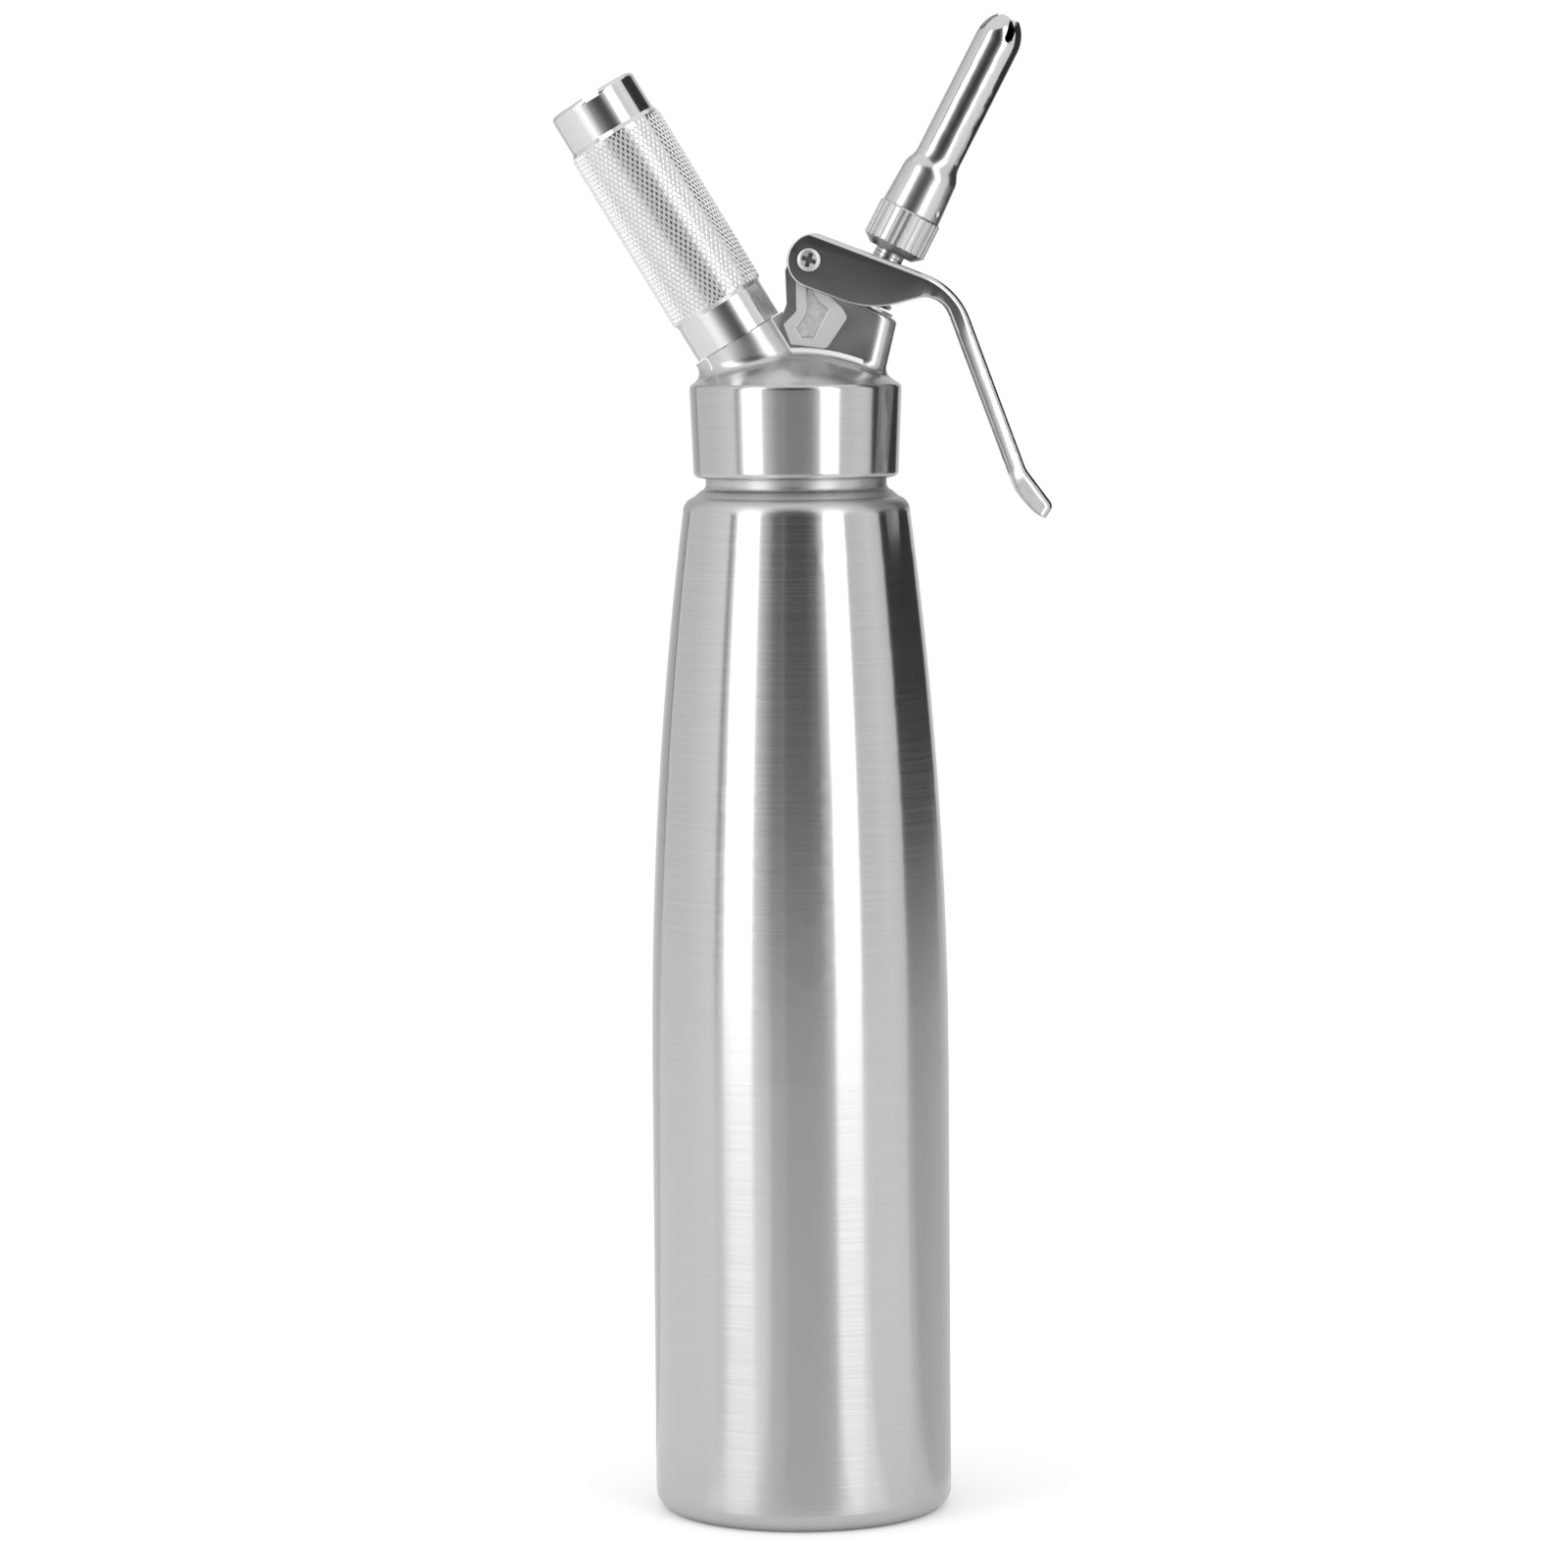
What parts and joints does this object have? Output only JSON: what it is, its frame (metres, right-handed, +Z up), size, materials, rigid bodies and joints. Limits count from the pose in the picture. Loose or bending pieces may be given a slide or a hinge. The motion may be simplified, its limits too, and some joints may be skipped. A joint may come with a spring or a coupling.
{
  "type": "whipped cream dispenser",
  "caption": "Steel flask with a screwed cast head, a squeeze lever over a sprung cream valve, a slotted nozzle and a knurled gas charger holder.",
  "frame": {"origin": "centre of the flask's foot, on the plane it stands on", "axes": "+Z up the flask's axis, +X towards the nozzle and the lever's handle, -X towards the charger holder; the valve and charger axes lie in the XZ plane"},
  "size_m": [0.1321, 0.08, 0.4015],
  "materials": {
    "flask_steel": "brushed stainless steel, fine rings round the flask",
    "cast_steel": "cast stainless steel, turned cap, blasted and polished web",
    "polished_steel": "pressed stainless steel, polished",
    "turned_steel": "turned stainless steel, bright",
    "spring_steel": "drawn spring wire, bright",
    "holder_alloy": "turned aluminium with a diamond knurled grip",
    "charger_steel": "zinc plated steel",
    "silicone": "white food silicone",
    "bush_plastic": "natural acetal"
  },
  "bodies": {
    "flask": {"flask": "flask_steel"},
    "head_gasket": {"head_gasket": "silicone"},
    "head": {"head_body": "cast_steel", "piercing_pin": "turned_steel", "inlet_seal": "silicone", "check_valve": "silicone", "valve_guide_bush": "bush_plastic", "stem_o_ring": "silicone", "spring_washer": "turned_steel", "valve_spring": "spring_steel", "pivot_screw": "turned_steel", "pivot_sleeve": "turned_steel"},
    "charger": {"gas_charger": "charger_steel"},
    "charger_holder": {"charger_holder": "holder_alloy"},
    "lever": {"lever": "polished_steel"},
    "valve": {"valve_stem": "turned_steel", "valve_gasket": "silicone", "valve_plate": "turned_steel", "spring_collar": "turned_steel"},
    "nozzle_gasket": {"nozzle_gasket": "silicone"},
    "nozzle": {"nozzle_nut": "turned_steel", "decorating_tip": "polished_steel"}
  },
  "joints": [
    {"name": "head_lift", "type": "slide", "parent": "flask", "child": "head_gasket", "axis": [0, 0, 1], "range_m": [0, 0.01205]},
    {"name": "head_unscrew", "type": "hinge", "parent": "head_gasket", "child": "head", "pos_m": [0, 0, 0.291], "axis": [0, 0, 1], "range_deg": [0, 1080]},
    {"name": "charger_lift", "type": "slide", "parent": "head", "child": "charger", "axis": [-0.515, 0, 0.8572], "range_m": [0, 0.01055]},
    {"name": "holder_unscrew", "type": "hinge", "parent": "charger", "child": "charger_holder", "pos_m": [0, 0, 0.291], "axis": [-0.515, 0, 0.8572], "range_deg": [0, 2160]},
    {"name": "lever_squeeze", "type": "hinge", "parent": "head", "child": "lever", "pos_m": [0.00374, 0, 0.33647], "axis": [0, 1, 0], "range_deg": [0, 9], "stiffness_Nm_per_rad": 4, "springref_deg": -5.73},
    {"name": "valve_stroke", "type": "slide", "parent": "head", "child": "valve", "axis": [-0.4602, 0, -0.8878], "range_m": [0, 0.003], "deforming": ["valve_spring"]},
    {"name": "nozzle_lift", "type": "slide", "parent": "valve", "child": "nozzle_gasket", "axis": [0.4602, 0, 0.8878], "range_m": [0, 0.00505]},
    {"name": "nozzle_unscrew", "type": "hinge", "parent": "nozzle_gasket", "child": "nozzle", "pos_m": [0, 0, 0.289], "axis": [0.4602, 0, 0.8878], "range_deg": [0, 1800]}
  ],
  "couplings": [
    {"joint": "head_lift", "follows": "head_unscrew", "m_per_rad": 0.00063662},
    {"joint": "charger_lift", "follows": "holder_unscrew", "m_per_rad": 0.00027852},
    {"joint": "valve_stroke", "follows": "lever_squeeze", "m_per_rad": 0.0189},
    {"joint": "nozzle_lift", "follows": "nozzle_unscrew", "m_per_rad": 0.00015915}
  ]
}
